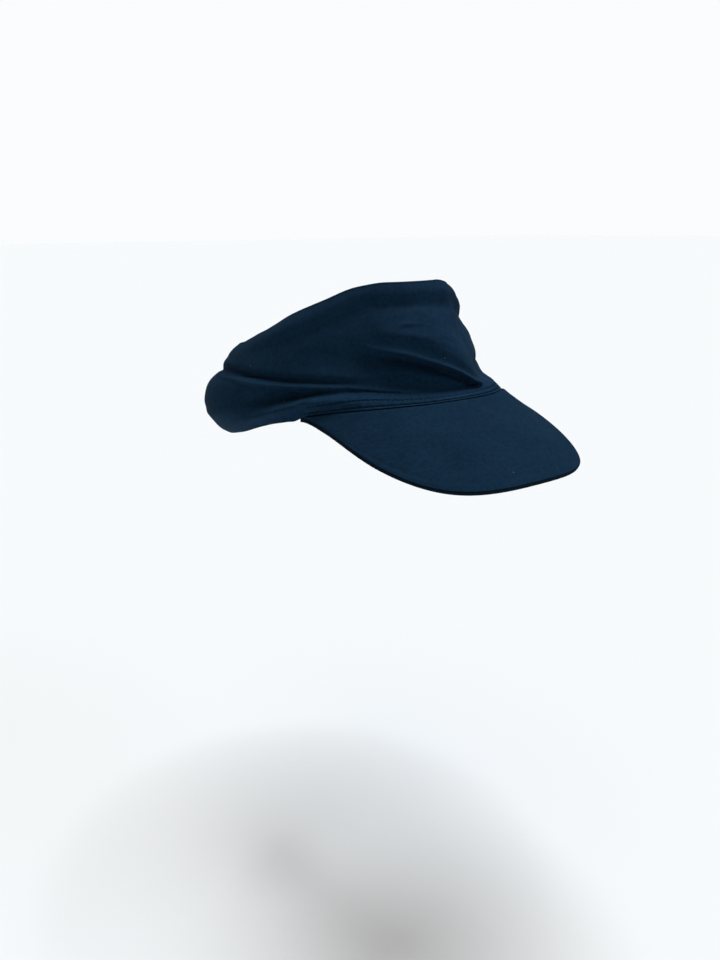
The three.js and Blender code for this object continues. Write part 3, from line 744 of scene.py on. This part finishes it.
def hem_face(angle, share, along):
    """Offset and height of the strip's face: share 0 is its lower edge, 1 its upper edge."""
    low, top = section(angle)["low"], hem_top(angle)
    height = low + (top - low) * share
    slant = level_depth(angle, 1.0)
    width = (top - low) * slant
    ends = 1 - smoothstep(np.abs(angle), PEAK_CORNER - PAD_START, HEM_REACH - PAD_END)
    sewn = 1 - smoothstep(np.abs(angle), STITCH_END - STITCH_SOFT, STITCH_END + STITCH_SOFT)
    relief = HEM_PAD * ends * (1 - smoothstep(share, FULL_PAD, 1))
    lower_row, upper_row = STITCH_ROWS
    from_front = smoothstep(angle, FRONT_SUNK_TO, FRONT_SUNK_FROM)
    upper_sunk = FRONT_SUNK + (1 - FRONT_SUNK) * from_front
    stitch = 2 * math.pi * along / STITCH_PITCH
    pull = 0.5 + 0.5 * np.cos(stitch)
    for row, sunk in ((lower_row, 1), (upper_row, upper_sunk)):
        away = (share - row) * width
        groove = (GROOVE_DEPTH + GROOVE_PULL * pull) * bell(away, 0, GROOVE_WIDTH)
        pucker = PUCKER_DEPTH * np.sin(stitch / PUCKER_PITCHES + row * PUCKER_SHIFT)
        relief = relief + sewn * (pucker * bell(away, 0, PUCKER_WIDTH) - sunk * groove)
    round_off = np.clip(1 - share * width / HEM_ROUND_HEIGHT, 0, 1) ** 2
    relief = relief + HEM_PROUD - HEM_ROUND_DEPTH * round_off
    return face_offset(angle, height) + relief * slant, height


def hem_loops():
    angle, along = HEM_ANGLES[:, None], hem_length()[:, None]
    # Rows crowd towards both edges
    crowded = (1 - np.cos(np.linspace(0, math.pi, HEM_FACE_ROWS))) / 2
    even = np.linspace(0, 1, HEM_FACE_ROWS)
    shares = (1 - HEM_EVEN_ROWS) * crowded + HEM_EVEN_ROWS * even
    face = place(angle, *hem_face(angle, shares, along))
    back_shares = np.linspace(1, 0, HEM_BACK_ROWS)
    low, top = section(angle)["low"], hem_top(angle)
    height = low + (top - low) * back_shares
    depth = strip_depth(angle, height, hem_wall(angle)) + level_depth(angle, HEM_BACK)
    back = place(angle, face_offset(angle, height) - depth, height)
    return np.concatenate([face, back], 1)


hem_cloth = strip_mesh("hem_cloth", hem_loops(), HEM)


def unit(vectors):
    return vectors / np.linalg.norm(vectors, axis=-1, keepdims=True)


def bead(path, out, radii):
    """Rings of points round a path, one for each radius."""
    ahead = unit(path[-1] - path[0])
    side = unit(np.cross(ahead, out))
    turns = np.linspace(0, 2 * math.pi, THREAD_SIDES, endpoint=False)[:, None]
    circle = np.cos(turns) * np.cross(side, ahead) + np.sin(turns) * side
    return path[:, None] + circle * radii[:, None, None]


def stitches():
    """Two rows of thread, each stitch a short round-ended bead that dips into the cloth."""
    length = hem_length()
    span = np.linspace(-1, 1, THREAD_RINGS)
    bow = np.sqrt(np.clip(1 - span ** 2, 0, 1))
    radii = THREAD_RADIUS * (THREAD_END + (1 - THREAD_END) * bow)
    middle = THREAD_RINGS // 2
    sides = np.arange(THREAD_SIDES)
    rings = np.arange(THREAD_RINGS - 1)[:, None] * THREAD_SIDES
    after = (sides + 1) % THREAD_SIDES
    corners = (rings + sides, rings + THREAD_SIDES + sides, rings + THREAD_SIDES + after,
               rings + after)
    walls = np.stack(corners, -1).reshape(-1, 4)
    last = sides[::-1] + (THREAD_RINGS - 1) * THREAD_SIDES
    points, faces = [], []
    for row in STITCH_ROWS:
        centres = np.arange(1, int(length[-1] / STITCH_PITCH) - 1) * STITCH_PITCH
        for centre in centres:
            run = centre + (0.5 + STITCH_HALF * span) * STITCH_PITCH
            angle = np.interp(run, length, HEM_ANGLES)
            if abs(angle[middle]) > STITCH_END:
                continue
            offset, height = hem_face(angle, row, run)
            rise = level_depth(angle, STITCH_BOW * bow - STITCH_DIP)
            out = place(angle[middle], 1, 0) - place(angle[middle], 0, 0)
            start = len(points)
            points.extend(bead(place(angle, offset + rise, height), out, radii).reshape(-1, 3))
            faces.extend([*(start + walls).tolist(), (start + sides).tolist(),
                          (start + last).tolist()])
    return make_mesh("hem_stitches", points, faces, THREAD)


hem_stitches = stitches()

# The peak: cloth over a stiff board, with a rounded edge

# Stations run from 1 at the near corner to -1 at the far one, closer together at the corners
PEAK_STATIONS, PEAK_ROWS, EDGE_ROWS = 240, 56, 9
CROWDING, NUDGE = 0.25, 1e-3
VERTICAL = np.array([0, 0, 1.0])

# Where its edge draws in and lifts, where its sections turn upright, where its edge leans
# upright (and by how much), and where its wall thins (and by what share)
PINCH_FROM, PINCH_TO = 0.7, 0.97
EAR_FROM, EAR_TO = 0.9, 0.96
UPRIGHT, UPRIGHT_FROM, UPRIGHT_TO = 0.85, 0.45, 0.85
THINNING, THIN_FROM, THIN_TO = 0.1, 0.4, 0.7
ROLL_POWER, EDGE_SQUARENESS = 0.3, 0.6

# The board's edge shows as a faint ridge with a hollow behind it, and the cloth swells a little
# along the seam: height, distance from the edge or the seam, and width. All fade where the peak
# is shorter than FADE_LENGTH. The underside turns from the seam's mitre within MITRE_SHARE.
BOARD_RIDGE, BOARD_HOLLOW, SEAM_SWELL = (0.16, 2.6, 1.3), (0.12, 5.6, 1.8), (0.25, 0, 3.0)
FADE_LENGTH, MITRE_SHARE = 20, 0.06


def seam_point(station):
    """Where the peak meets the band. Its ears are sewn up into the band's lower edge."""
    angle = station * (PEAK_CORNER + EAR_REACH)
    ear = smoothstep(np.abs(angle), PEAK_CORNER - EAR_REACH, PEAK_CORNER + EAR_REACH)
    height = section(angle)["low"] + end_droop(angle) - SEAM_GAP + EAR_RISE * ear
    return place(angle, -EAR_TUCK * ear, height)


def edge_point(station):
    """The peak's outline."""
    corner_angle = np.float64(PEAK_CORNER)
    corner = place(corner_angle, 0, section(corner_angle)["low"] - SEAM_GAP)
    drop = math.radians(PEAK_DROP)
    tip_y = -HEAD_LENGTH / 2 - PEAK_LENGTH * math.cos(drop)
    tip_z = -PEAK_LENGTH * math.sin(drop)
    turn = station * math.pi / 2
    across = np.sign(turn) * np.abs(np.sin(turn)) ** (2 / PEAK_POWER)
    forward = np.abs(np.cos(turn)) ** (2 / PEAK_POWER)
    near = smoothstep(np.abs(station), PINCH_FROM, PINCH_TO)
    sag = PEAK_SAG * np.sin(2 * turn) ** 2
    rolled = PEAK_ROLL * corner[0] * across * forward ** ROLL_POWER
    return np.stack([
        corner[0] * across * (1 - PEAK_PINCH * near),
        corner[1] + (tip_y - corner[1]) * forward,
        corner[2] + (tip_z - corner[2]) * forward - sag + rolled + PEAK_LIFT * near,
    ], -1)


def peak_loops():
    even = np.linspace(1, -1, PEAK_STATIONS)
    station = (1 - CROWDING) * even + CROWDING * np.sin(even * math.pi / 2)
    from_middle = np.abs(station)[:, None]
    seam, edge = seam_point(station), edge_point(station)
    outward = unit(edge - seam)

    def middle(at):
        return seam_point(at) + edge_point(at)

    ahead = middle(np.minimum(station + NUDGE, 1)) - middle(np.maximum(station - NUDGE, -1))
    up = unit(np.cross(ahead, outward))
    up = up * np.where(up[:, 2:] < 0, -1, 1)
    ear = smoothstep(from_middle, EAR_FROM, EAR_TO)
    up = unit(up * (1 - ear) + VERTICAL * ear)
    mitre = unit(up + VERTICAL)
    mitre = mitre / mitre[:, 2:]
    upright = UPRIGHT * smoothstep(from_middle, UPRIGHT_FROM, UPRIGHT_TO)
    edge_up = unit(up * (1 - upright) + VERTICAL * upright)
    wall = PEAK_WALL * (1 - THINNING * smoothstep(from_middle, THIN_FROM, THIN_TO))
    half = wall / 2
    length = np.linalg.norm(edge - seam, axis=1, keepdims=True) - half
    inward = unit(seam * [-1, -1, 0])
    margin = SEAM_MARGIN * (1 - EAR_TAPER * smoothstep(from_middle, EAR_START, 1))
    hidden = seam + inward * margin

    def rise(size, at, width, distance):
        return size * bell(distance, at, width)

    fade = np.clip(length / FADE_LENGTH, 0, 1)
    top, bottom = [hidden], [hidden - VERTICAL * wall]
    for share in np.linspace(0, 1, PEAK_ROWS):
        point = seam + outward * length * share
        from_edge, from_seam = length * (1 - share), length * share
        relief = rise(*BOARD_RIDGE, from_edge) - rise(*BOARD_HOLLOW, from_edge)
        relief = relief + rise(*SEAM_SWELL, from_seam) * (share > 0)
        top.append(point + up * relief * fade)
        blend = min(share / MITRE_SHARE, 1)
        under = mitre * (1 - blend) + (up * (1 - share) + edge_up * share) * blend
        bottom.append(point - under * wall)

    rim = []
    for turn in np.linspace(0, math.pi, EDGE_ROWS + 2)[1:-1]:
        out = half * math.sin(turn) ** EDGE_SQUARENESS
        lift = math.copysign(abs(math.cos(turn)) ** EDGE_SQUARENESS, math.cos(turn))
        rim.append(seam + outward * (length + out) + edge_up * (half * lift - half))
    return np.stack(top + rim + bottom[::-1], 1)


peak_shape = peak_loops()
peak_cloth = strip_mesh("peak_cloth", peak_shape, PEAK)
# The peak's rim rows, end faces and caps take a much darker cloth: painted shade along its edge
paint_edge(
    peak_cloth, peak_shape, PEAK_EDGE_PAINTED_SHADE,
    first_row=PEAK_ROWS + 1, end_row=PEAK_ROWS + EDGE_ROWS + 1, end_stations=2,
)

for piece, node, slot in (
    (band_cloth, "headband", "band_jersey"),
    (hem_cloth, "front_hem", "hem_jersey"),
    (peak_cloth, "peak", "peak_jersey"),
):
    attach(piece, "root")
    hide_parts(node)
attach(hem_stitches, "root")

# Camera, at the photograph's viewing angle. The distance and the shifts are millimetres.

AZIMUTH, ELEVATION, ROLL = math.radians(-36.11), math.radians(15.92), math.radians(-0.57)
FOCAL_PIXELS, DISTANCE, SHIFT_RIGHT, SHIFT_UP = 881.76, 560.66, 3.34, -65.5
PICTURE_HEIGHT, SENSOR = 960, 36.0
CLIP_START, CLIP_END = 0.01, 60


def add_camera():
    back = np.array([
        math.sin(AZIMUTH) * math.cos(ELEVATION), -math.cos(AZIMUTH) * math.cos(ELEVATION),
        math.sin(ELEVATION),
    ])
    right = unit(np.cross(-back, VERTICAL))
    up = np.cross(right, -back)
    across = math.cos(ROLL) * right + math.sin(ROLL) * up
    upward = -math.sin(ROLL) * right + math.cos(ROLL) * up
    data = bpy.data.cameras.new("camera")
    data.sensor_width, data.sensor_fit = SENSOR, "AUTO"
    data.lens = FOCAL_PIXELS / PICTURE_HEIGHT * SENSOR
    data.clip_start, data.clip_end = CLIP_START, CLIP_END
    camera = bpy.data.objects.new("camera", data)
    matrix = np.eye(4)
    matrix[:3, 0], matrix[:3, 1], matrix[:3, 2] = across, upward, back
    matrix[:3, 3] = (back * DISTANCE + across * SHIFT_RIGHT + upward * SHIFT_UP) * MM
    camera.matrix_world = Matrix(matrix.tolist())
    bpy.context.scene.collection.objects.link(camera)
    bpy.context.scene.camera = camera


add_camera()

# Studio: a pale floor well below the visor, an even pale world and soft light from above.
# The floor's sizes are metres.

FLOOR_HEIGHT, FLOOR_HALF, FLOOR_COLOUR = -0.3, 30, (0.88, 0.88, 0.88, 1)
WORLD_LIGHT, WORLD_SEEN = (0.06, 0.06, 0.06, 1), (0.962, 0.972, 0.985, 1)


def add_floor():
    corners = ((-1, -1), (1, -1), (1, 1), (-1, 1))
    mesh = bpy.data.meshes.new("floor")
    mesh.from_pydata(
        [(x * FLOOR_HALF, y * FLOOR_HALF, FLOOR_HEIGHT) for x, y in corners], [], [(0, 1, 2, 3)]
    )
    floor = bpy.data.objects.new("floor", mesh)
    bpy.context.scene.collection.objects.link(floor)
    material = bpy.data.materials.new("floor_paper")
    material.use_nodes = True
    shader = material.node_tree.nodes["Principled BSDF"]
    shader.inputs["Base Color"].default_value = FLOOR_COLOUR
    shader.inputs["Roughness"].default_value = 0.95
    shader.inputs["Specular IOR Level"].default_value = 0.0
    mesh.materials.append(material)


def add_world():
    """A dim even light on the visor, with a pale background behind it."""
    world = bpy.data.worlds.new("studio")
    world.use_nodes = True
    bpy.context.scene.world = world
    nodes, link = world.node_tree.nodes, world.node_tree.links.new
    nodes.clear()
    mix = add(nodes, "ShaderNodeMixShader")
    link(add(nodes, "ShaderNodeLightPath").outputs["Is Camera Ray"], mix.inputs[0])
    for socket, colour in ((1, WORLD_LIGHT), (2, WORLD_SEEN)):
        background = add(nodes, "ShaderNodeBackground")
        background.inputs["Color"].default_value = colour
        link(background.outputs[0], mix.inputs[socket])
    link(mix.outputs[0], add(nodes, "ShaderNodeOutputWorld").inputs["Surface"])


def add_sun(name, azimuth, elevation, strength, spread, colour):
    """A sun that shines from an azimuth and elevation. The spread softens its shadows."""
    data = bpy.data.lights.new(name, "SUN")
    data.color = colour
    data.energy, data.angle = strength, math.radians(spread)
    sun = bpy.data.objects.new(name, data)
    sun.rotation_euler = (math.radians(90 - elevation), 0, math.radians(azimuth))
    bpy.context.scene.collection.objects.link(sun)


add_floor()
add_world()
# The main light comes from high up behind the far side, a cool fill from the front of the far
# side, and a faint warm light from above the near side
add_sun("key", 122, 73, 2.76, 30, (0.95, 1.0, 1.04))
add_sun("front", 42, 34, 0.62, 40, (0.86, 1.0, 1.12))
add_sun("top", -50, 74, 0.26, 40, (1.35, 1.0, 0.65))

view = bpy.context.scene.view_settings
view.view_transform, view.look, view.exposure, view.gamma = "Standard", "None", 0, 1
